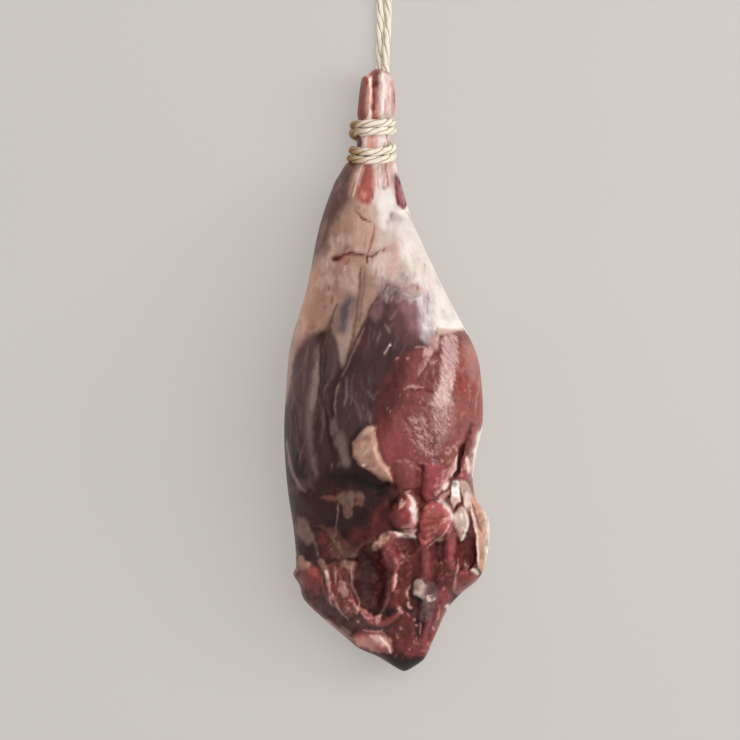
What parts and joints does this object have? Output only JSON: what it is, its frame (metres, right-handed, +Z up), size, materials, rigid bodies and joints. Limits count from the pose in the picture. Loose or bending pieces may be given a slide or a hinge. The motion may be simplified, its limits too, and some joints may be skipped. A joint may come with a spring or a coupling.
{
  "type": "raw meat leg",
  "caption": "Raw leg of meat lying on its back: slim shank tied with sisal twine that ends in a hanging loop, fat-covered thigh, torn cut face at the wide end.",
  "frame": {"origin": "on the surface the leg lies on, under the middle of the leg's box", "axes": "+Z up through the side that was cut open, +Y along the leg towards the shank, +X to the right as the picture shows it"},
  "size_m": [0.1566, 0.577, 0.1143],
  "materials": {
    "meat": "moist raw meat: red muscle, creamy fat and grey-violet membrane",
    "sisal": "laid natural sisal twine, matt"
  },
  "bodies": {
    "root": {"leg": "meat", "twine_winding": "sisal", "twine_loop": "sisal"}
  },
  "joints": []
}
